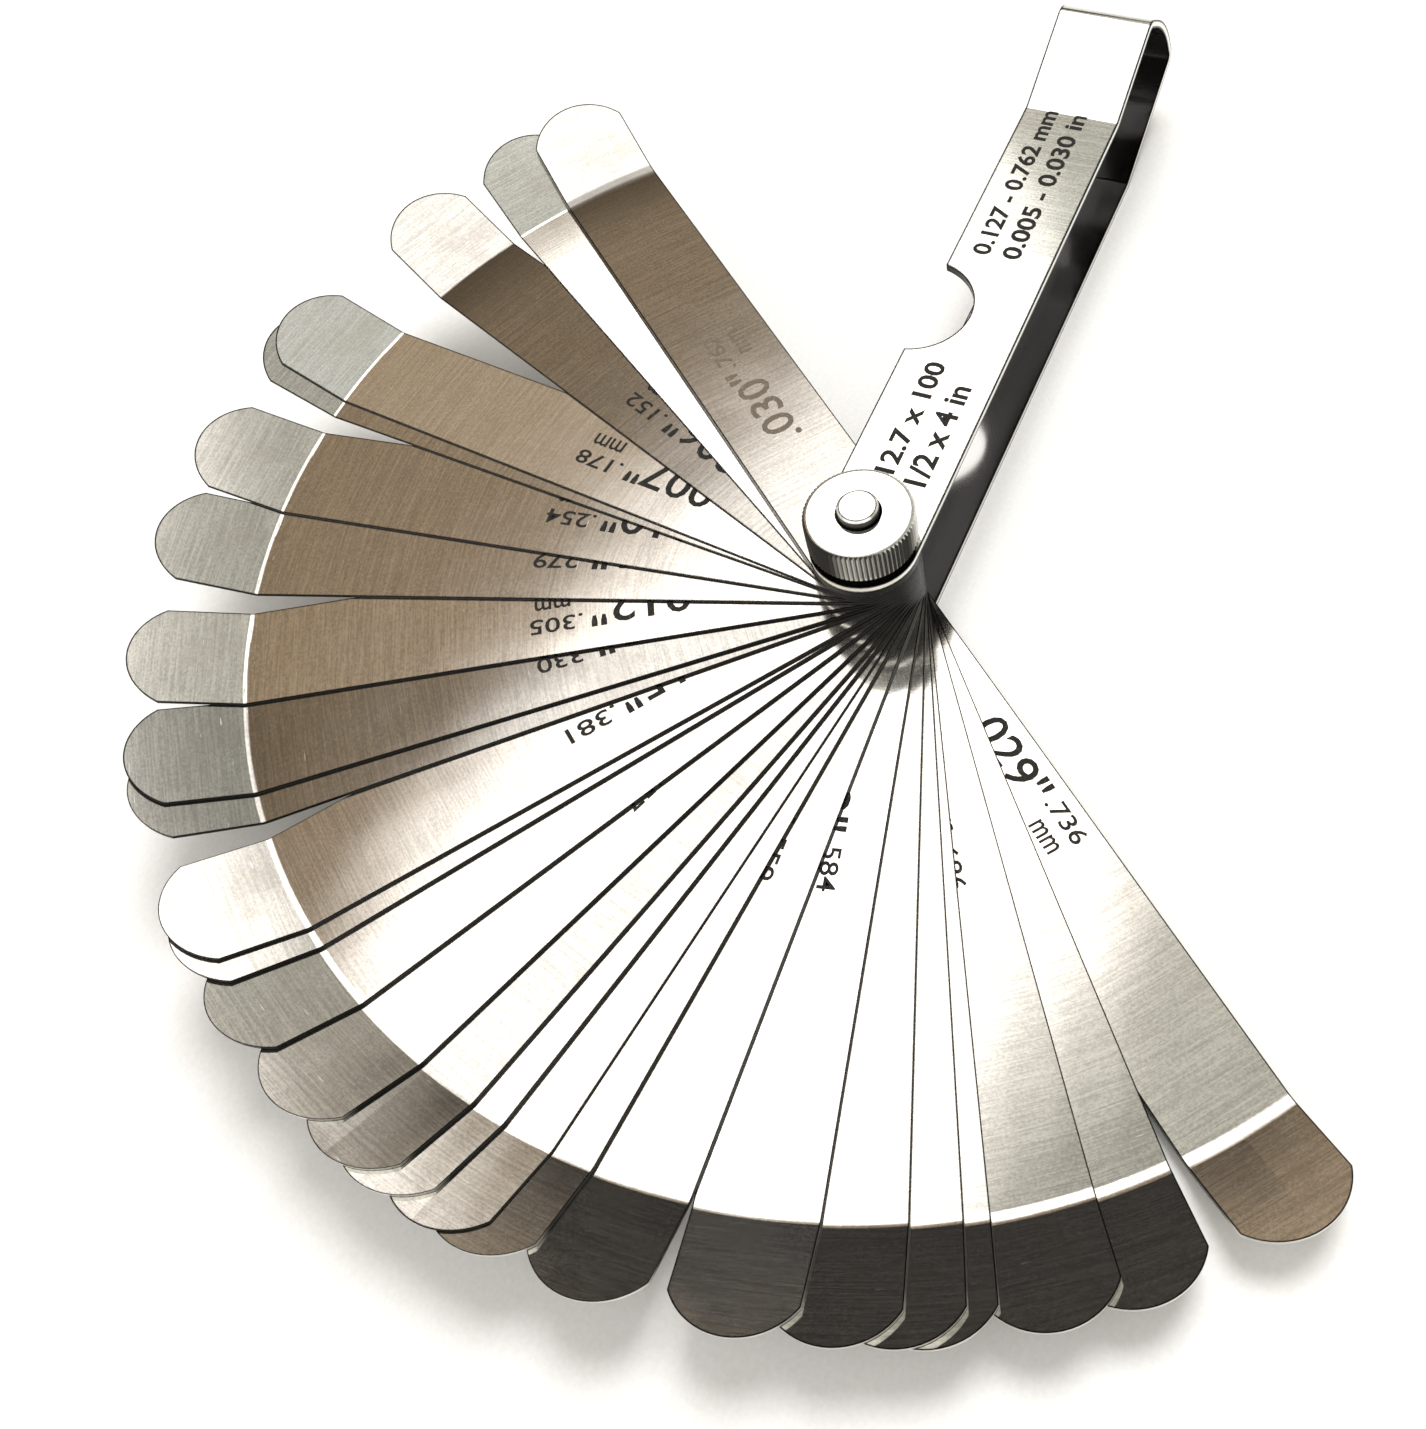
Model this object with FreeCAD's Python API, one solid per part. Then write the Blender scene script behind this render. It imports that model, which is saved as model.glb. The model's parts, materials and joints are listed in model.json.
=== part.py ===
"""Offset feeler gauge: 26 bent-tip leaves fanned about one post in a folded steel clip, held by a thumb nut.

Frame: millimetres, +Z up along the post's axis, origin where that axis meets the clip's underside,
+X from the post along the clip towards its folded end. The lower arm of the clip lies on Z = 0.
Positive angles turn counterclockwise seen from above.
"""

import FreeCAD, Part
import math
import os

# --- the leaves -------------------------------------------------------------------------------
INCH = 25.4
# Thickness of each leaf in thousandths of an inch, from the top of the stack to the bottom.
LEAF_MILS = [30, 5, 6, 7, 8, 10, 11, 12, 13, 14, 15, 16, 17, 18, 19, 20, 9, 21, 22, 23, 24, 25, 26, 27, 28, 29]
# Direction in which each leaf is fanned out, in degrees from the clip, in the same order.
FAN_DEG = [
    51, 57, 68, 83.5, 85.5, 97.5, 107, 119, 128.5, 131.5, 143, 145, 151.5,
    159, 164.5, 167.5, 172, 175.5, 183.5, 193.5, 200, 204, 206, 214, 220, 231,
]
LEAF_WIDTH = 12.7
LEAF_GAP = 0.045  # air between neighbours with the nut slackened
LEAF_HOLE_RADIUS = 2.45
BEND_DEG = 20.0  # every tip is set up by this angle
BEND_REACH = 73.6  # axis to bend, for a surface at mid stack
BEND_RADIUS_TIGHT = 0.8  # inside radius of the bends at the top of the stack
BEND_RADIUS_GROWTH = 0.3  # and how much softer they get per millimetre further down
TOP_LEAF_BEND_RADIUS = 8.0  # the stiff top leaf is bent softly too
TIP_LENGTH = 13.0  # bend to tip end, along the slope
TIP_CROWN = 3.9  # how far the rounded end stands past its two corners, along the slope

# --- the clip: one strip folded back on itself ---------------------------------------------------
STRIP = 1.0
ARM_SPREAD = 0.8  # the upper arm springs up this much between the nut and its bend
ARM_FLAT = 9.0  # length held flat by the nut
UPPER_BEND_X = 73.0
LOWER_BEND_X = 78.0
FOLD_LOW_X = 98.0  # sharp corners of the folded end, before rounding
FOLD_MID = (94.2, 15.8)
FOLD_TOP_X = 87.2
FOLD_LOW_RADIUS = 1.6
FOLD_MID_RADIUS = 20.0
FOLD_TOP_RADIUS = 2.6
ARM_BEND_RADIUS = 2.0
SPREAD_RADIUS = 200.0
UPPER_HOLE_RADIUS = 2.55
NOTCH_RADIUS = 7.4  # half-round finger notch in the upper arm's +Y edge
NOTCH_CENTRE = (35.7, 7.9)

# --- post, washer and thumb nut ------------------------------------------------------------------
POST_RADIUS = 2.4
POST_HEAD_RADIUS = 3.5
POST_TOP = 21.4
POST_CHAMFER = 0.3
WASHER_RADIUS = 4.9
WASHER_THICKNESS = 0.9
WASHER_HOLE_RADIUS = 2.5
FACE_GAP = 0.02  # between clip, washer and nut
NUT_RADIUS = 6.4
NUT_HEIGHT = 4.5
NUT_HOLE_RADIUS = 2.45
NUT_EDGE_RADIUS = 0.55
NUT_COUNTERSINK = 0.2
KNURL_TEETH = 72
KNURL_DEPTH = 0.28

HALF_WIDTH = LEAF_WIDTH / 2
BEND = math.radians(BEND_DEG)
STACK = sum(LEAF_MILS) * INCH / 1000 + LEAF_GAP * (len(LEAF_MILS) + 1)
UPPER_UNDERSIDE = STRIP + STACK
UPPER_TOP = UPPER_UNDERSIDE + STRIP
MID_STACK = STRIP + STACK / 2
UP = FreeCAD.Vector(0, 0, 1)
CENTRE = FreeCAD.Vector(0, 0, 0)


def bend_reach(height):
    """Axis-to-bend distance of a surface at this height: the bends nest, so higher ones lie nearer."""
    return BEND_REACH - (height - MID_STACK) * math.tan(BEND / 2)


def bend_radius(top):
    """Inside radius of a leaf's bend, from the height of the leaf's upper face."""
    return BEND_RADIUS_TIGHT + BEND_RADIUS_GROWTH * (UPPER_UNDERSIDE - top)


def polar(centre, radius, angle):
    """A point in the XZ plane."""
    return FreeCAD.Vector(centre.x + radius * math.cos(angle), 0, centre.z + radius * math.sin(angle))


def arc(centre, radius, start, end):
    """An arc in the XZ plane between two angles."""
    middle = polar(centre, radius, (start + end) / 2)
    return Part.Arc(polar(centre, radius, start), middle, polar(centre, radius, end)).toShape()


def line(start, end):
    return Part.LineSegment(start, end).toShape()


def leaf_section(bottom, thickness, inner, reach):
    """Half section of a leaf from the axis outwards: flat, then a cone that rises past the bend."""
    top = bottom + thickness
    start = bend_reach(top) - inner * math.tan(BEND / 2)
    centre = FreeCAD.Vector(start, 0, top + inner)
    outer = inner + thickness
    down = -math.pi / 2
    slope = FreeCAD.Vector(math.cos(BEND), 0, math.sin(BEND)) * reach
    low_end = polar(centre, outer, down + BEND) + slope
    high_end = polar(centre, inner, down + BEND) + slope
    edges = [
        line(FreeCAD.Vector(LEAF_HOLE_RADIUS, 0, bottom), FreeCAD.Vector(start, 0, bottom)),
        arc(centre, outer, down, down + BEND),
        line(polar(centre, outer, down + BEND), low_end),
        line(low_end, high_end),
        line(high_end, polar(centre, inner, down + BEND)),
        arc(centre, inner, down + BEND, down),
        line(FreeCAD.Vector(start, 0, top), FreeCAD.Vector(LEAF_HOLE_RADIUS, 0, top)),
        line(FreeCAD.Vector(LEAF_HOLE_RADIUS, 0, top), FreeCAD.Vector(LEAF_HOLE_RADIUS, 0, bottom)),
    ]
    return Part.Face(Part.Wire(edges))


def leaf_outline(top):
    """Plan of a leaf: round about the post, straight sides, and a shallow rounded tip with two corners."""
    end_x = bend_reach(top) + TIP_LENGTH * math.cos(BEND)
    corner_x = end_x - TIP_CROWN * math.cos(BEND)
    left = FreeCAD.Vector(0, HALF_WIDTH, 0)
    right = FreeCAD.Vector(0, -HALF_WIDTH, 0)
    left_corner = FreeCAD.Vector(corner_x, HALF_WIDTH, 0)
    right_corner = FreeCAD.Vector(corner_x, -HALF_WIDTH, 0)
    edges = [
        Part.Arc(left, FreeCAD.Vector(-HALF_WIDTH, 0, 0), right).toShape(),
        line(right, right_corner),
        Part.Arc(right_corner, FreeCAD.Vector(end_x, 0, 0), left_corner).toShape(),
        line(left_corner, left),
    ]
    return Part.Face(Part.Wire(edges))


def leaf(bottom, thickness, inner, fan_deg):
    """One leaf: the bent section turned about the post, trimmed to the plan and swung out."""
    top = bottom + thickness
    turned = leaf_section(bottom, thickness, inner, TIP_LENGTH + 2).revolve(CENTRE, UP, 360)
    plan = leaf_outline(top)
    plan.translate(FreeCAD.Vector(0, 0, bottom - 1))
    blank = plan.extrude(UP * (TIP_LENGTH + 2))
    solid = turned.common(blank).Solids[0]
    solid.rotate(CENTRE, UP, fan_deg)
    return solid


def make_leaves():
    """Every leaf by name, laid from the top of the stack downwards."""
    leaves = {}
    top = UPPER_UNDERSIDE - LEAF_GAP
    for mils, fan_deg in zip(LEAF_MILS, FAN_DEG):
        thickness = mils * INCH / 1000
        inner = bend_radius(top) if leaves else TOP_LEAF_BEND_RADIUS
        leaves["leaf_%03d" % mils] = leaf(top - thickness, thickness, inner, fan_deg)
        top -= thickness + LEAF_GAP
    return leaves


def clip_corners():
    """Sharp corners of the strip's outer side, from under the post round the fold to above the post."""
    rise = math.tan(BEND)
    fold_top = UPPER_TOP + ARM_SPREAD + (FOLD_TOP_X - UPPER_BEND_X) * rise
    plan = [
        (-HALF_WIDTH - 1, 0, 0),
        (LOWER_BEND_X, 0, ARM_BEND_RADIUS + STRIP),
        (FOLD_LOW_X, (FOLD_LOW_X - LOWER_BEND_X) * rise, FOLD_LOW_RADIUS),
        (FOLD_MID[0], FOLD_MID[1], FOLD_MID_RADIUS),
        (FOLD_TOP_X, fold_top, FOLD_TOP_RADIUS),
        (UPPER_BEND_X, UPPER_TOP + ARM_SPREAD, ARM_BEND_RADIUS),
        (ARM_FLAT, UPPER_TOP, SPREAD_RADIUS),
        (-HALF_WIDTH - 1, UPPER_TOP, 0),
    ]
    return [(FreeCAD.Vector(x, 0, z), radius) for x, z, radius in plan]


def left_of(direction):
    """The unit vector a quarter turn counterclockwise in the XZ plane."""
    return FreeCAD.Vector(-direction.z, 0, direction.x)


def offset_corners(corners, distance):
    """The same path moved to its left by a distance, its bends kept concentric."""
    points = [point for point, _ in corners]
    ways = [(b - a).normalize() for a, b in zip(points, points[1:])]
    moved = [(points[0] + left_of(ways[0]) * distance, 0)]
    for (point, radius), before, after in zip(corners[1:], ways, ways[1:]):
        sideways = left_of(before) + left_of(after)
        shift = sideways * (distance / (1 + before.dot(after)))
        turns_left = left_of(before).dot(after) > 0
        moved.append((point + shift, radius - distance if turns_left else radius + distance))
    moved.append((points[-1] + left_of(ways[-1]) * distance, 0))
    return moved


def rounded_path(corners):
    """Edges along a path of straight runs joined by tangent arcs."""
    edges = []
    here = corners[0][0]
    for (before, _), (point, radius), (after, _) in zip(corners, corners[1:], corners[2:]):
        incoming = (point - before).normalize()
        outgoing = (after - point).normalize()
        half_turn = incoming.getAngle(outgoing) / 2
        tangent = radius * math.tan(half_turn)
        arc_start = point - incoming * tangent
        arc_end = point + outgoing * tangent
        inward = (outgoing - incoming).normalize()
        arc_middle = point + inward * (radius / math.cos(half_turn) - radius)
        edges.append(line(here, arc_start))
        edges.append(Part.Arc(arc_start, arc_middle, arc_end).toShape())
        here = arc_end
    edges.append(line(here, corners[-1][0]))
    return edges


def make_clip():
    """The folded strip, with round ends about the post, the post's holes and the finger notch."""
    outer = clip_corners()
    inner = offset_corners(outer, STRIP)
    outside = rounded_path(outer)
    inside = rounded_path(inner)
    ends = [line(outer[0][0], inner[0][0]), line(outer[-1][0], inner[-1][0])]
    section = Part.Face(Part.Wire(Part.__sortEdges__(outside + inside + ends)))
    section.translate(FreeCAD.Vector(0, -HALF_WIDTH, 0))
    strip = section.extrude(FreeCAD.Vector(0, LEAF_WIDTH, 0))
    height = FOLD_MID[1] + 2 * UPPER_TOP
    round_end = Part.makeCylinder(HALF_WIDTH, height, FreeCAD.Vector(0, 0, -1))
    rest = Part.makeBox(FOLD_LOW_X + 5, LEAF_WIDTH, height, FreeCAD.Vector(0, -HALF_WIDTH, -1))
    strip = strip.common(round_end.fuse(rest))
    lower_hole = Part.makeCylinder(POST_HEAD_RADIUS, 2 * STRIP, FreeCAD.Vector(0, 0, -STRIP / 2))
    upper_hole = Part.makeCylinder(UPPER_HOLE_RADIUS, 3 * STRIP, FreeCAD.Vector(0, 0, UPPER_UNDERSIDE - STRIP))
    notch_base = FreeCAD.Vector(NOTCH_CENTRE[0], NOTCH_CENTRE[1], UPPER_UNDERSIDE - STRIP)
    notch = Part.makeCylinder(NOTCH_RADIUS, 4 * STRIP, notch_base)
    return strip.cut([lower_hole, upper_hole, notch]).removeSplitter().Solids[0]


def make_post():
    """Post with a flush head pressed into the lower arm."""
    head = Part.makeCylinder(POST_HEAD_RADIUS, STRIP)
    shank = Part.makeCylinder(POST_RADIUS, POST_TOP)
    post = head.fuse(shank).removeSplitter()
    rim = [e for e in post.Edges if abs(e.BoundBox.ZMin - POST_TOP) < 1e-6]
    return post.makeChamfer(POST_CHAMFER, rim).Solids[0]


def make_washer():
    base = FreeCAD.Vector(0, 0, UPPER_TOP + FACE_GAP)
    disc = Part.makeCylinder(WASHER_RADIUS, WASHER_THICKNESS, base)
    return disc.cut(Part.makeCylinder(WASHER_HOLE_RADIUS, WASHER_THICKNESS, base))


def make_nut():
    """Straight-knurled thumb nut: a toothed bar trimmed by a turned blank with soft edges."""
    base = UPPER_TOP + WASHER_THICKNESS + 2 * FACE_GAP
    ring = []
    for step in range(2 * KNURL_TEETH):
        radius = NUT_RADIUS - KNURL_DEPTH * (step % 2)
        angle = math.pi * step / KNURL_TEETH
        ring.append(FreeCAD.Vector(radius * math.cos(angle), radius * math.sin(angle), base))
    bar = Part.Face(Part.makePolygon(ring + ring[:1])).extrude(UP * NUT_HEIGHT)
    blank = Part.makeCylinder(NUT_RADIUS + 0.01, NUT_HEIGHT, FreeCAD.Vector(0, 0, base))
    rims = [e for e in blank.Edges if isinstance(e.Curve, Part.Circle)]
    blank = blank.makeFillet(NUT_EDGE_RADIUS, rims)
    hole = Part.makeCylinder(NUT_HOLE_RADIUS, NUT_HEIGHT, FreeCAD.Vector(0, 0, base))
    mouth = NUT_HOLE_RADIUS + NUT_COUNTERSINK
    sink_base = FreeCAD.Vector(0, 0, base + NUT_HEIGHT - NUT_COUNTERSINK)
    sink = Part.makeCone(NUT_HOLE_RADIUS, mouth, NUT_COUNTERSINK, sink_base)
    return bar.common(blank).cut([hole, sink]).Solids[0]


def main():
    os.makedirs("parts", exist_ok=True)
    pieces = make_leaves()
    pieces["holder_clip"] = make_clip()
    pieces["pivot_post"] = make_post()
    pieces["flat_washer"] = make_washer()
    pieces["thumb_nut"] = make_nut()
    for name, shape in pieces.items():
        if not shape.isValid() or len(shape.Solids) != 1:
            raise ValueError(name + " is not one valid solid")
        shape.exportStep("parts/" + name + ".step")
        print("%-12s %9.2f mm3" % (name, shape.Volume))


main()
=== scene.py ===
"""Looks of the offset feeler gauge: brushed steel, etched figures, soft studio light and the main camera."""

import json
import math

import bpy
from mathutils import Matrix, Vector


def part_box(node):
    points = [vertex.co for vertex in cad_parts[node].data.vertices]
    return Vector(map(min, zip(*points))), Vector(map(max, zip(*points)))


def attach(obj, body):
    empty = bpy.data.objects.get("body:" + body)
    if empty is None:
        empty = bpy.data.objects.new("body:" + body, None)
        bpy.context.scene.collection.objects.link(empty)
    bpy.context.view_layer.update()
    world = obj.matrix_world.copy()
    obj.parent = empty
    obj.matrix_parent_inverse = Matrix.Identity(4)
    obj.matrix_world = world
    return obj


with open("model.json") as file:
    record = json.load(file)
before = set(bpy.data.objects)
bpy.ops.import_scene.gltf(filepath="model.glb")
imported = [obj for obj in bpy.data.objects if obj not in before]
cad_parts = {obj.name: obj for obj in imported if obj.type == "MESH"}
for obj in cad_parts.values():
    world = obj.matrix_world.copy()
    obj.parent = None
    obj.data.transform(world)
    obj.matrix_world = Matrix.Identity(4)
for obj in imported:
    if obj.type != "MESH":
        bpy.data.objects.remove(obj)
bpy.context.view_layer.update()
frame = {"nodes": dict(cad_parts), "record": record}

MM = 0.001
scene = bpy.context.scene

# Each leaf's direction in degrees from the clip: its joint's lower limit folds it back to zero.
JOINTS = frame["record"]["behaviour"]["joints"]
FAN = {j["child"]: -j["range_deg"][0] for j in JOINTS if j["name"].endswith("_swing")}


# --- camera -----------------------------------------------------------------------------------
VIEW_AZIMUTH = -58.226
VIEW_ELEVATION = 58.314
VIEW_ROLL = -11.347
VIEW_DISTANCE = 197.8 * MM
VIEW_TARGET = Vector((-12.85, -5.57, 0)) * MM
LENS = 42.8
SHIFT = -0.117


def make_camera():
    a = math.radians(VIEW_AZIMUTH)
    e = math.radians(VIEW_ELEVATION)
    r = math.radians(VIEW_ROLL)
    forward = Vector((-math.sin(a) * math.cos(e), math.cos(a) * math.cos(e), -math.sin(e)))
    level = Vector((math.cos(a), math.sin(a), 0))
    up = level.cross(forward)
    right = level * math.cos(r) + up * math.sin(r)
    top = up * math.cos(r) - level * math.sin(r)
    data = bpy.data.cameras.new("camera")
    data.lens = LENS
    data.sensor_width = 36
    data.shift_x = SHIFT
    data.clip_start = 0.01
    data.clip_end = 50
    camera = bpy.data.objects.new("camera", data)
    turn = Matrix((right, top, -forward)).transposed().to_4x4()
    camera.matrix_world = Matrix.Translation(VIEW_TARGET - forward * VIEW_DISTANCE) @ turn
    scene.collection.objects.link(camera)
    scene.camera = camera


make_camera()


# --- node helpers -----------------------------------------------------------------------------
class Nodes:
    """Short spellings for building the nodes of a material or a world around its own shader."""

    def __init__(self, owner, shader):
        owner.use_nodes = True
        self.owner = owner
        self.tree = owner.node_tree
        self.shader = self.tree.nodes[shader]

    def add(self, kind, inputs=(), **settings):
        node = self.tree.nodes.new(kind)
        for key, value in settings.items():
            setattr(node, key, value)
        for key, value in dict(inputs).items():
            self.set(node, key, value)
        return node

    def set(self, node, key, value):
        if isinstance(value, bpy.types.NodeSocket):
            self.tree.links.new(value, node.inputs[key])
        else:
            node.inputs[key].default_value = value

    def math(self, operation, a, b=0.0):
        return self.add("ShaderNodeMath", {0: a, 1: b}, operation=operation).outputs[0]

    def dot(self, a, b):
        return self.add("ShaderNodeVectorMath", {0: a, 1: b}, operation="DOT_PRODUCT").outputs["Value"]

    def axis(self, vector, letter):
        return self.add("ShaderNodeSeparateXYZ", {0: vector}).outputs[letter]

    def ramp(self, value, low, high, out_low=0.0, out_high=1.0):
        """value mapped smoothly from low..high to out_low..out_high."""
        inputs = {"Value": value, "From Min": low, "From Max": high}
        inputs.update({"To Min": out_low, "To Max": out_high})
        node = self.add("ShaderNodeMapRange", inputs, interpolation_type="SMOOTHSTEP")
        return node.outputs["Result"]

    def mix(self, factor, a, b):
        node = self.add("ShaderNodeMix", {"Factor": factor}, data_type="RGBA")
        self.set(node, 6, a)
        self.set(node, 7, b)
        return node.outputs[2]

    def noise(self, place, per_mm, detail, roughness):
        """Noise at place, with per_mm features to the millimetre along each axis."""
        scale = [count / MM for count in per_mm]
        stretched = self.add("ShaderNodeMapping", {"Vector": place, "Scale": scale}).outputs["Vector"]
        inputs = {"Vector": stretched, "Scale": 1.0, "Detail": detail, "Roughness": roughness}
        return self.add("ShaderNodeTexNoise", inputs).outputs["Fac"]


def material_nodes(name):
    return Nodes(bpy.data.materials.new(name), "Principled BSDF")


def direction(deg):
    return (math.cos(math.radians(deg)), math.sin(math.radians(deg)), 0)


# --- brushed steel ----------------------------------------------------------------------------
ROUGHNESS = 0.11
GRAIN_DARK = 0.75
GRAIN_LIGHT = 1.22
STAIN_TONE = 0.70
NICK = [0.93, 0.92, 0.90, 1]
SPECK = [0.07, 0.06, 0.05, 1]
EDGE_SHADE_LINE = [0.012, 0.011, 0.010, 1]
SHADED_SIDE_COLOUR = [0.03, 0.03, 0.028, 1]
# The colour of the painted shade before the bend, as a share of the leaf's colour.
BEND_SHADE_TONE = 0.30

# Painted shade inside a folded strip: its facing sides, the underside of its upper arm, and the wall that
# faces the post.
FOLD_SHADE = [0.42, 0.41, 0.40, 1]
CEILING_SHADE = [0.14, 0.14, 0.14, 1]
WALL_SHADE = [0.05, 0.05, 0.05, 1]
WALL_START = 20 * MM

# Distances from the post: where painted shade darkens a leaf's flat before the bend, and where the rim of
# its tip begins.
SHADE_FROM = 60 * MM
SHADE_TO = 74 * MM
RIM_FROM = 80 * MM
RIM_TO = 83 * MM

EDGE_ROUNDING = 0.10 * MM
GRAIN_DEPTH = 0.002 * MM
WAVE_DEPTH = 0.10 * MM


def metal_tone(n, strip, colour, grime):
    """The steel's own tone, and the noises of its grain and of its dull patches."""
    fine = n.noise(strip, (4.5, 0.12, 0.3), 3.0, 0.7)
    grit = n.noise(strip, (3.4, 2.6, 3.0), 3.0, 0.8)
    blotch = n.noise(strip, (0.11, 0.16, 0.1), 3.0, 0.55)
    speck = n.noise(strip, (1.9, 1.9, 1.9), 2.0, 0.7)
    nick = n.noise(strip, (3.0, 0.35, 0.3), 1.0, 0.5)

    dark = [c * GRAIN_DARK for c in colour] + [1]
    light = [min(1, c * GRAIN_LIGHT) for c in colour] + [1]
    stained = [c * f * STAIN_TONE for c, f in zip(colour, (1.0, 0.95, 0.88))] + [1]
    grain = n.math("ADD", n.math("MULTIPLY", fine, 0.5), n.math("MULTIPLY", grit, 0.5))
    base = n.mix(n.ramp(grain, 0.35, 0.65), dark, light)
    base = n.mix(n.math("MULTIPLY", n.ramp(blotch, 0.52, 0.70), grime), base, stained)
    base = n.mix(n.ramp(nick, 0.76, 0.82), base, NICK)
    base = n.mix(n.ramp(speck, 0.77, 0.81, 0.0, 0.75), base, SPECK)
    return base, grain, blotch


def shade_folded_inside(n, base, place, normal, side, inner_face):
    """base with painted shade on the inner sides of a strip folded back over itself at the height
    inner_face.
    """
    upper = n.math("GREATER_THAN", n.axis(place, "Z"), inner_face)
    away = n.math("SUBTRACT", n.math("MULTIPLY", upper, 2.0), 1.0)
    inside = n.ramp(n.math("MULTIPLY", n.axis(normal, "Z"), away), -0.2, -0.35)
    towards_post = n.math("LESS_THAN", n.axis(normal, "X"), -0.25)
    past_post = n.math("GREATER_THAN", n.axis(place, "X"), WALL_START)
    wall = n.math("MULTIPLY", side, n.math("MULTIPLY", towards_post, past_post))
    # Painted shade: the facing sides, the upper arm's underside and the wall towards the post are darkened,
    # as the gap lies in shade.
    base = n.mix(inside, base, FOLD_SHADE)
    base = n.mix(n.math("MULTIPLY", inside, upper), base, CEILING_SHADE)
    return n.mix(wall, base, WALL_SHADE)


def steel(name, colour, grain_deg, lean=(0, 0), tip_lean=(0, 0), anisotropy=0.5, grime=0.3,
          bend_shade=0.0, side_tone=0.012, tip_rim=None, edge_line=0.22, inner_face=None, shaded_side=None):
    """Cross-ground steel strip. The grain runs across the strip, whose own direction is grain_deg.

    lean tips the flat a little along and across the strip, as a leaf that isn't quite flat does, and
    tip_lean the part past the bend. bend_shade is painted shade that darkens the flat towards the bend.
    side_tone is the colour of the sides, where a dark value is painted shade, edge_line how wide the
    painted dark line of shade along each sharp edge is, in millimetres, and tip_rim the colour of the
    rim of a leaf's tip, where a dark value is painted shade. inner_face is the height that parts a
    folded strip's two arms, whose facing sides get painted shade. shaded_side is the direction, in
    degrees, that a round part's side with painted shade faces.
    """
    n = material_nodes(name)
    place = n.add("ShaderNodeTexCoord").outputs["Object"]
    turn = math.radians(grain_deg)
    rotate = {"Vector": place, "Angle": -turn}
    strip = n.add("ShaderNodeVectorRotate", rotate, rotation_type="Z_AXIS").outputs[0]
    normal = n.add("ShaderNodeNewGeometry").outputs["Normal"]
    facing = n.axis(normal, "Z")
    side = n.ramp(n.math("ABSOLUTE", facing), 0.75, 0.45)
    sloping = n.ramp(facing, 0.985, 0.955)

    base, grain, blotch = metal_tone(n, strip, colour, grime)
    # Painted shade: dark colours on the sides of the leaves, post and washer, and on the tip rims of the
    # thinner leaves; the clip's and nut's sides stay near their steel colour.
    edge = [side_tone, side_tone, side_tone * 0.95, 1]
    if tip_rim is not None:
        # Painted shade: the flat is darkened towards the bend.
        out = n.axis(strip, "X")
        near_bend = n.ramp(out, SHADE_FROM, SHADE_TO, 0.0, bend_shade)
        near_bend = n.math("MULTIPLY", near_bend, n.ramp(sloping, 0.5, 0.0))
        base = n.mix(near_bend, base, [c * BEND_SHADE_TONE for c in colour] + [1])
        edge = n.mix(n.ramp(out, RIM_FROM, RIM_TO), edge, [tip_rim, tip_rim, tip_rim * 0.95, 1])
    base = n.mix(side, base, edge)
    if shaded_side is not None:
        # Painted shade: the side of a round part that faces the given direction is darkened.
        turned_away = n.ramp(n.dot(normal, direction(shaded_side)), -0.45, 0.10)
        base = n.mix(n.math("MULTIPLY", turned_away, n.ramp(facing, 0.97, 0.85)), base, SHADED_SIDE_COLOUR)
    if inner_face is not None:
        base = shade_folded_inside(n, base, place, normal, side, inner_face)

    rounded = n.add("ShaderNodeBevel", {"Radius": EDGE_ROUNDING}, samples=4).outputs[0]
    wide = n.add("ShaderNodeBevel", {"Radius": edge_line * MM}, samples=12).outputs[0]
    along = n.dot(wide, normal)
    # Painted shade: a dark line along each sharp edge, and on the folded clip also along its sides.
    line = n.ramp(along, 0.9995, 0.985)
    if inner_face is None:
        line = n.math("MULTIPLY", line, n.math("SUBTRACT", 1.0, side))
    else:
        line = n.math("MAXIMUM", n.math("MULTIPLY", line, side), n.ramp(along, 0.999, 0.975))
    n.set(n.shader, "Base Color", n.mix(line, base, EDGE_SHADE_LINE))
    n.set(n.shader, "Metallic", 1.0)
    n.set(n.shader, "Anisotropic", anisotropy)
    rough = n.ramp(blotch, 0.3, 0.7, ROUGHNESS * 0.92, ROUGHNESS * 1.10)
    n.set(n.shader, "Roughness", n.math("ADD", rough, n.math("MULTIPLY", side, 0.25)))

    def turned_with_body(vector):
        spaces = {"vector_type": "VECTOR", "convert_from": "OBJECT", "convert_to": "WORLD"}
        return n.add("ShaderNodeVectorTransform", {"Vector": vector}, **spaces).outputs[0]

    def along_strip(pair):
        u, v = pair
        return (u * math.cos(turn) - v * math.sin(turn), u * math.sin(turn) + v * math.cos(turn), 0)

    n.set(n.shader, "Tangent", turned_with_body(along_strip((1, 0))))
    leans = {"Factor": sloping, 4: along_strip(lean), 5: along_strip(tip_lean)}
    leaning = turned_with_body(n.add("ShaderNodeMix", leans, data_type="VECTOR").outputs[1])
    tipped = n.add("ShaderNodeVectorMath", {0: rounded, 1: leaning}, operation="ADD").outputs[0]
    wave = n.noise(strip, (0.05, 0.07, 0.05), 1.0, 0.4)
    for strength, depth, height in ((0.30, GRAIN_DEPTH, grain), (1.0, WAVE_DEPTH, wave)):
        bump = {"Strength": strength, "Distance": depth, "Height": height, "Normal": tipped}
        tipped = n.add("ShaderNodeBump", bump).outputs[0]
    n.set(n.shader, "Normal", tipped)
    return n.owner


def finish_node(node, material):
    """The CAD node keeps its shape and takes this material."""
    mesh = frame["nodes"][node].data
    mesh.materials.clear()
    mesh.materials.append(material)


# --- the steel parts --------------------------------------------------------------------------
LEAF_COLOUR = (0.62, 0.585, 0.54)
CLIP_COLOUR = (0.80, 0.78, 0.73)

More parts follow.
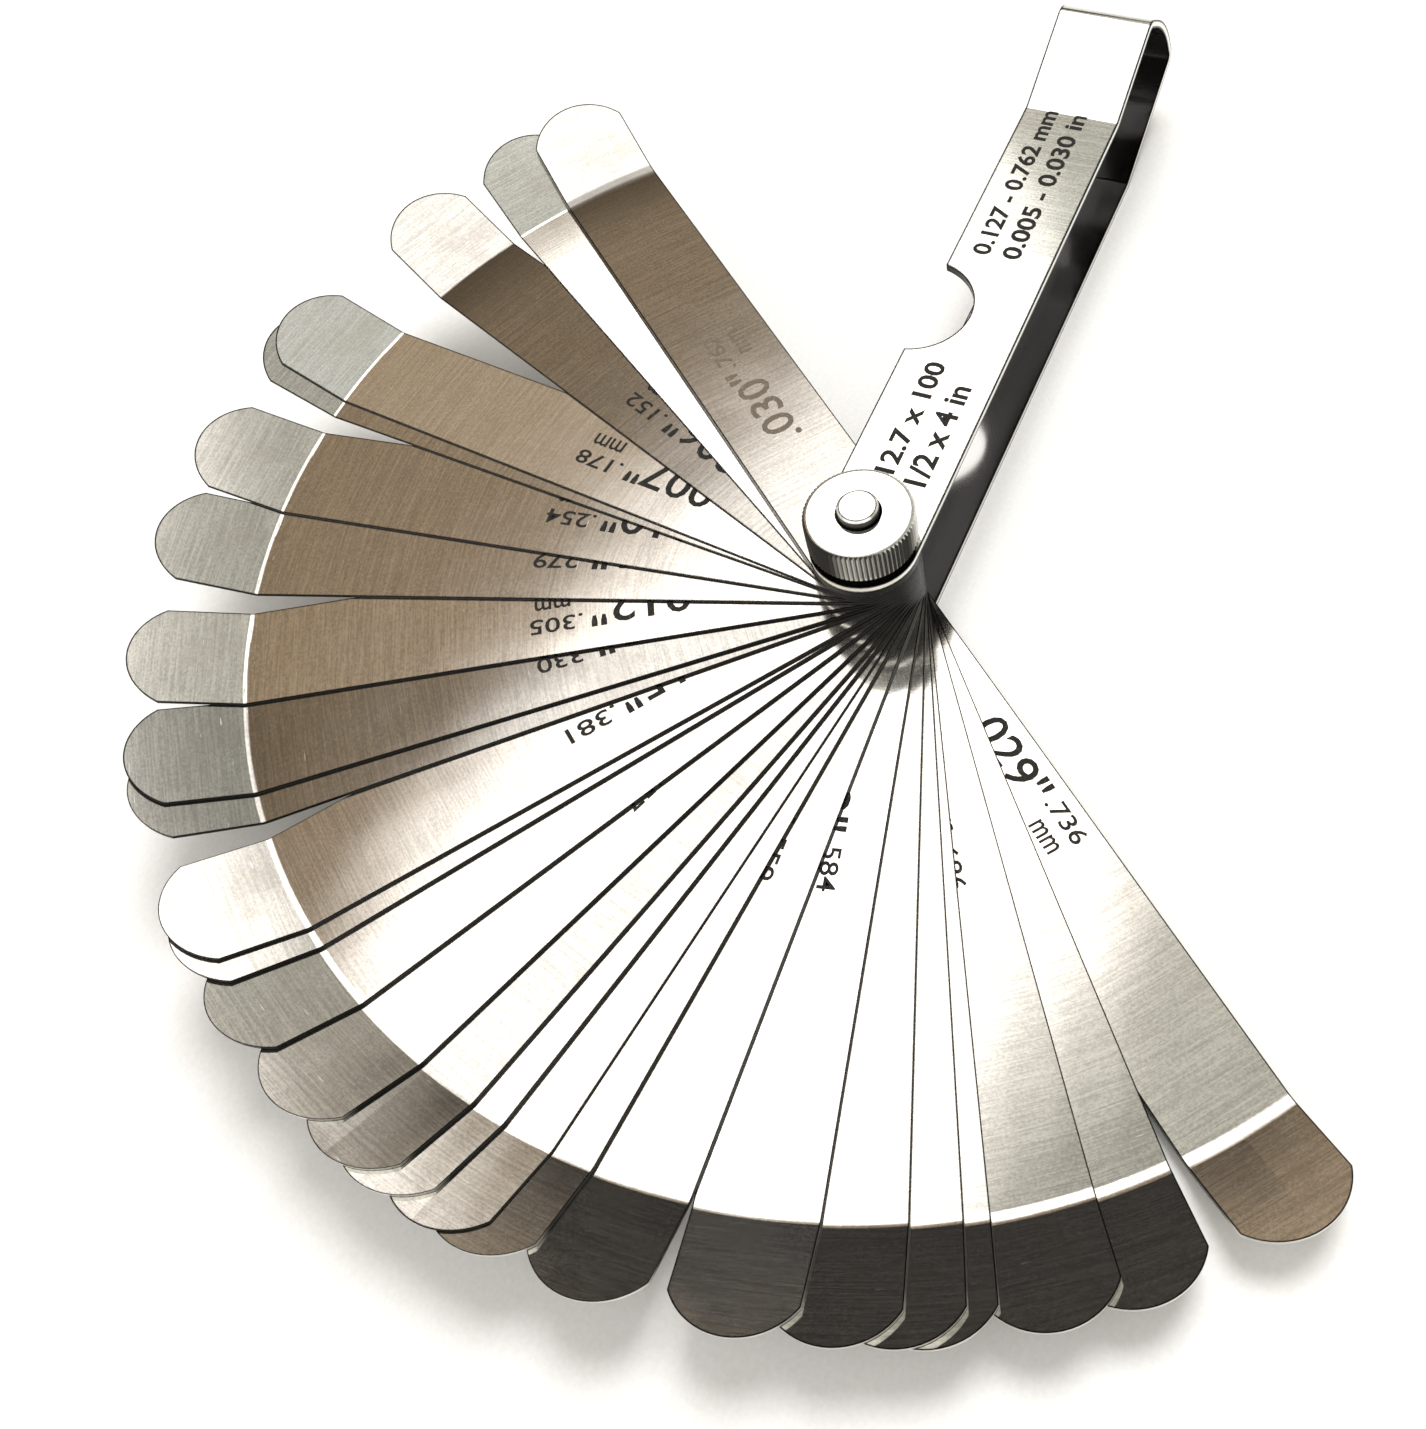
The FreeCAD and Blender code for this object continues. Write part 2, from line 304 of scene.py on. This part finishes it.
# How far a leaf's flat and its tip lean, along and across the leaf, where it isn't true to the others.
LEAN = {"leaf_005": (-0.08, 0), "leaf_027": (0.02, 0)}
TIP_LEAN = {
    "leaf_030": (0.10, 0), "leaf_005": (0.02, 0), "leaf_006": (0.10, 0), "leaf_010": (0.02, 0),
    "leaf_015": (0.03, 0), "leaf_016": (0.02, 0), "leaf_017": (-0.03, 0), "leaf_018": (-0.02, 0),
    "leaf_020": (0.05, 0), "leaf_009": (0.05, 0), "leaf_022": (-0.03, 0), "leaf_023": (-0.015, 0),
    "leaf_024": (-0.04, 0), "leaf_025": (-0.04, 0), "leaf_026": (-0.04, 0), "leaf_027": (-0.04, 0),
    "leaf_028": (-0.04, 0), "leaf_029": (0.004, 0),
}
# How much painted shade darkens the flat towards the bend.
BEND_SHADE = {"leaf_030": 0.85, "leaf_006": 0.75, "leaf_005": 0.25, "leaf_013": 0.20}
# Painted light and shade: how much lighter or darker than the others a leaf's colour is made, for how it
# mirrors the room.
PAINTED_LEAF_LIGHT = {
    "leaf_030": 0.85, "leaf_005": 1.45, "leaf_006": 0.72, "leaf_007": 1.58, "leaf_012": 1.15,
    "leaf_013": 0.70, "leaf_014": 0.65, "leaf_019": 0.80, "leaf_023": 1.50, "leaf_029": 1.25,
}
# The rim of the tip is bright steel from this leaf on, and before it painted shade.
BRIGHT_RIM_FROM = 18
BRIGHT_RIM = 0.75
SHADED_RIM = 0.02
# The leaves with the thinner line of painted shade along their edges.
FINE_LINED = range(14, 23)
FINE_LINE = 0.20
EDGE_LINE = 0.30
CLIP_MIDDLE = 8 * MM


def finish_leaf(node, deg):
    mils = int(node[-3:])
    # Painted light and shade: the leaf's colour is scaled lighter or darker.
    tone = [c * PAINTED_LEAF_LIGHT.get(node, 1.0) for c in LEAF_COLOUR]
    looks = {
        "lean": LEAN.get(node, (0, 0)),
        "tip_lean": TIP_LEAN.get(node, (0, 0)),
        "bend_shade": BEND_SHADE.get(node, 0.0),
        "tip_rim": BRIGHT_RIM if mils >= BRIGHT_RIM_FROM else SHADED_RIM,
        "edge_line": FINE_LINE if mils in FINE_LINED else EDGE_LINE,
    }
    finish_node(node, steel(node, tone, deg, **looks))


for leaf_name, leaf_deg in FAN.items():
    finish_leaf(leaf_name, leaf_deg)
finish_node("holder_clip", steel("clip", CLIP_COLOUR, 0, lean=(-0.012, 0), grime=0.15, side_tone=0.85,
                                 edge_line=0.50, inner_face=CLIP_MIDDLE))
finish_node("pivot_post", steel("post", CLIP_COLOUR, 90, anisotropy=0.0, grime=0.1, side_tone=0.05,
                                edge_line=0.25))
finish_node("flat_washer", steel("washer", CLIP_COLOUR, 90, anisotropy=0.0, grime=0.2, side_tone=0.05))
finish_node("thumb_nut", steel("nut", CLIP_COLOUR, 90, anisotropy=0.0, grime=0.1, side_tone=0.8,
                               edge_line=0.03, shaded_side=130))


# --- figures ----------------------------------------------------------------------------------
MIL = 0.0254 * MM
INK_LIFT = 0.012 * MM
LEAF_WEIGHT = 0.010
CLIP_WEIGHT = 0.026


def ink(name, colour):
    """Dull etched black, thin in places."""
    n = material_nodes(name)
    place = n.add("ShaderNodeTexCoord").outputs["Object"]
    patchy = n.noise(place, (2.5, 2.5, 2.5), 3.0, 0.7)
    faded = [min(1, c * 2.2 + 0.02) for c in colour] + [1]
    n.set(n.shader, "Base Color", n.mix(n.ramp(patchy, 0.55, 0.75), list(colour) + [1], faded))
    n.set(n.shader, "Roughness", 0.6)
    n.set(n.shader, "Specular IOR Level", 0.2)
    return n.owner


def figures(text, length, height, corner, weight):
    """Vertices and faces of a line of figures, boxed length by height with its low left corner at corner."""
    curve = bpy.data.curves.new("line", "FONT")
    curve.body = text
    curve.resolution_u = 3
    curve.offset = weight
    holder = bpy.data.objects.new("line", curve)
    mesh = bpy.data.meshes.new_from_object(holder)
    points = [v.co.copy() for v in mesh.vertices]
    faces = [tuple(p.vertices) for p in mesh.polygons]
    bpy.data.objects.remove(holder)
    bpy.data.curves.remove(curve)
    bpy.data.meshes.remove(mesh)
    low_x = min(p.x for p in points)
    low_y = min(p.y for p in points)
    wide = max(p.x for p in points) - low_x
    tall = max(p.y for p in points) - low_y
    left, bottom = corner
    flat = [((p.x - low_x) / wide * length + left, (p.y - low_y) / tall * height + bottom) for p in points]
    return flat, faces


def make_mark(name, body, material, lines, weight, deg, height_at):
    """Lines of figures on a strip that points along deg, with its height at a place given by height_at."""
    turn = math.radians(deg)
    points = []
    faces = []
    for text, length, height, corner in lines:
        flat, polygons = figures(text, length, height, corner, weight)
        faces += [tuple(i + len(points) for i in p) for p in polygons]
        for u, v in flat:
            x = (u * math.cos(turn) - v * math.sin(turn)) * MM
            y = (u * math.sin(turn) + v * math.cos(turn)) * MM
            points.append((x, y, height_at(u) + INK_LIFT))
    mesh = bpy.data.meshes.new(name)
    mesh.from_pydata(points, [], faces)
    mesh.materials.append(material)
    mark = bpy.data.objects.new(name, mesh)
    scene.collection.objects.link(mark)
    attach(mark, body)


FIGURE_START = 19.3
# Where a leaf's line of figures sits across it, where it isn't near the middle.
FIGURE_SHIFT = {"leaf_029": 3.0, "leaf_007": 0.4, "leaf_012": 1.2, "leaf_006": 0.8}
# The marked millimetre figures, in thousandths, where they aren't the inch figures rounded.
METRIC = {29: 736}
# The air under the washer, and how the upper arm rises along the clip past the nut.
WASHER_AIR = 0.02 * MM
ARM_RISES_FROM = 9
ARM_RISE = 0.8 * MM / 64
BLACK = ink("etch_black", (0.012, 0.011, 0.010))
FAINT = ink("etch_faint", (0.10, 0.08, 0.06))


def mark_leaves():
    """Each leaf's thickness, large in inches and small in millimetres, reading outwards."""
    for node, deg in FAN.items():
        mils = int(node[-3:])
        flat_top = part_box(node)[0].z + mils * MIL
        metric = METRIC.get(mils, round(mils * 25.4))
        base = FIGURE_SHIFT.get(node, 0.0) - 1.6
        lines = [
            (".%03d\"" % mils, 13.0, 4.2, (FIGURE_START, base - 0.5)),
            (".%03d" % metric, 6.2, 2.1, (FIGURE_START + 14.0, base + 1.5)),
            ("mm", 4.2, 1.7, (FIGURE_START + 15.4, base - 1.4)),
        ]
        material = FAINT if node == "leaf_030" else BLACK
        make_mark("figures_%03d" % mils, node, material, lines, LEAF_WEIGHT, deg,
                  lambda u: flat_top)


def mark_clip():
    """Two pairs of plain figures printed on the upper arm."""
    arm_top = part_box("flat_washer")[0].z - WASHER_AIR
    lines = [
        ("0.127 - 0.762 mm", 27.0, 2.5, (45.8, 1.7)),
        ("0.005 - 0.030 in", 27.0, 2.5, (46.0, -2.2)),
        ("12.7 x 100", 17.5, 2.6, (10.0, 0.3)),
        ("1/2 x 4 in", 15.5, 2.9, (9.3, -3.9)),
    ]
    make_mark("figures_clip", "clip", BLACK, lines, CLIP_WEIGHT, 0,
              lambda u: arm_top + max(0, u - ARM_RISES_FROM) * ARM_RISE)


mark_leaves()
mark_clip()


# --- studio -----------------------------------------------------------------------------------
FLOOR_HALF = 3.0
FLOOR_HEIGHT = -0.02 * MM
PAPER_DARK = [0.58, 0.572, 0.558, 1]
PAPER_LIGHT = [0.62, 0.612, 0.598, 1]


def make_floor():
    mesh = bpy.data.meshes.new("floor")
    s = FLOOR_HALF
    z = FLOOR_HEIGHT
    mesh.from_pydata([(-s, -s, z), (s, -s, z), (s, s, z), (-s, s, z)], [], [(0, 1, 2, 3)])
    floor = bpy.data.objects.new("floor", mesh)
    scene.collection.objects.link(floor)
    n = material_nodes("floor_paper")
    place = n.add("ShaderNodeTexCoord").outputs["Object"]
    tooth = n.noise(place, (1.5, 1.5, 1.5), 4.0, 0.7)
    n.set(n.shader, "Base Color", n.mix(n.ramp(tooth, 0.3, 0.7), PAPER_DARK, PAPER_LIGHT))
    n.set(n.shader, "Roughness", 0.7)
    n.set(n.shader, "Specular IOR Level", 0.1)
    mesh.materials.append(n.owner)


SKY_FRONT = (0.56, 0.565, 0.51, 1)
SKY_BACK = (0.39, 0.30, 0.20, 1)
SKY_CORNER = (0.045, 0.044, 0.043, 1)
SKY_BRIGHT_SIDE = (1.6, 1.58, 1.54, 1)
SKY_PANEL = (2.5, 2.47, 2.42, 1)
SKY_HORIZON = (0.92, 0.91, 0.89, 1)


def make_world():
    """Soft surroundings, all mirrored in the steel.

    A grey room turns warm and darker towards +Y, with a dark corner far out on +X and +Y, a bright -X side,
    a brighter panel between them and a plain pale band at the horizon. x and y are where a direction meets
    a ceiling one unit up.
    """
    n = Nodes(bpy.data.worlds.new("studio"), "Background")
    scene.world = n.owner
    way = n.add("ShaderNodeTexCoord").outputs["Generated"]
    rise = n.axis(way, "Z")
    height = n.math("MAXIMUM", rise, 0.05)
    x = n.math("DIVIDE", n.axis(way, "X"), height)
    y = n.math("DIVIDE", n.axis(way, "Y"), height)

    def beyond(offset, slope, soft=0.02):
        """1 where y is above the line offset + slope * x."""
        over = n.math("SUBTRACT", y, n.math("ADD", n.math("MULTIPLY", x, slope), offset))
        return n.ramp(over, -soft, soft)

    room = n.mix(n.ramp(y, 0.3, 0.6), SKY_FRONT, SKY_BACK)
    corner = n.math("MULTIPLY", n.ramp(x, 1.03, 1.09), n.ramp(y, 0.42, 0.50))
    room = n.mix(corner, room, SKY_CORNER)
    room = n.mix(n.ramp(x, 0.09, -0.2), room, SKY_BRIGHT_SIDE)
    panel = n.math("MULTIPLY", beyond(0.13, 0, 0.03), beyond(-0.31, 0.75))
    panel = n.math("MULTIPLY", panel, n.math("SUBTRACT", 1.0, beyond(0.70, -0.27, 0.03)))
    panel = n.math("MULTIPLY", panel, n.math("MULTIPLY", n.ramp(x, 0.09, 0.13), n.ramp(x, 1.04, 1.0)))
    panel = n.math("MULTIPLY", panel, n.math("SUBTRACT", 1.0, beyond(0.59, 0)))
    room = n.mix(panel, room, SKY_PANEL)
    room = n.mix(n.ramp(rise, 0.42, 0.28), room, SKY_HORIZON)
    n.set(n.shader, "Color", room)
    n.set(n.shader, "Strength", 1.0)


OVERHEAD_ENERGY = 3.4
OVERHEAD_SPREAD = math.radians(30)
OVERHEAD_TILT = math.radians(28)


def make_overhead():
    """A broad soft light from above and +X for the floor; the steel mirrors the surroundings instead."""
    data = bpy.data.lights.new("overhead", "SUN")
    data.energy = OVERHEAD_ENERGY
    data.angle = OVERHEAD_SPREAD
    light = bpy.data.objects.new("overhead", data)
    light.rotation_euler = (0, OVERHEAD_TILT, 0)
    light.visible_glossy = False
    scene.collection.objects.link(light)


make_floor()
make_world()
make_overhead()

scene.view_settings.view_transform = "Standard"
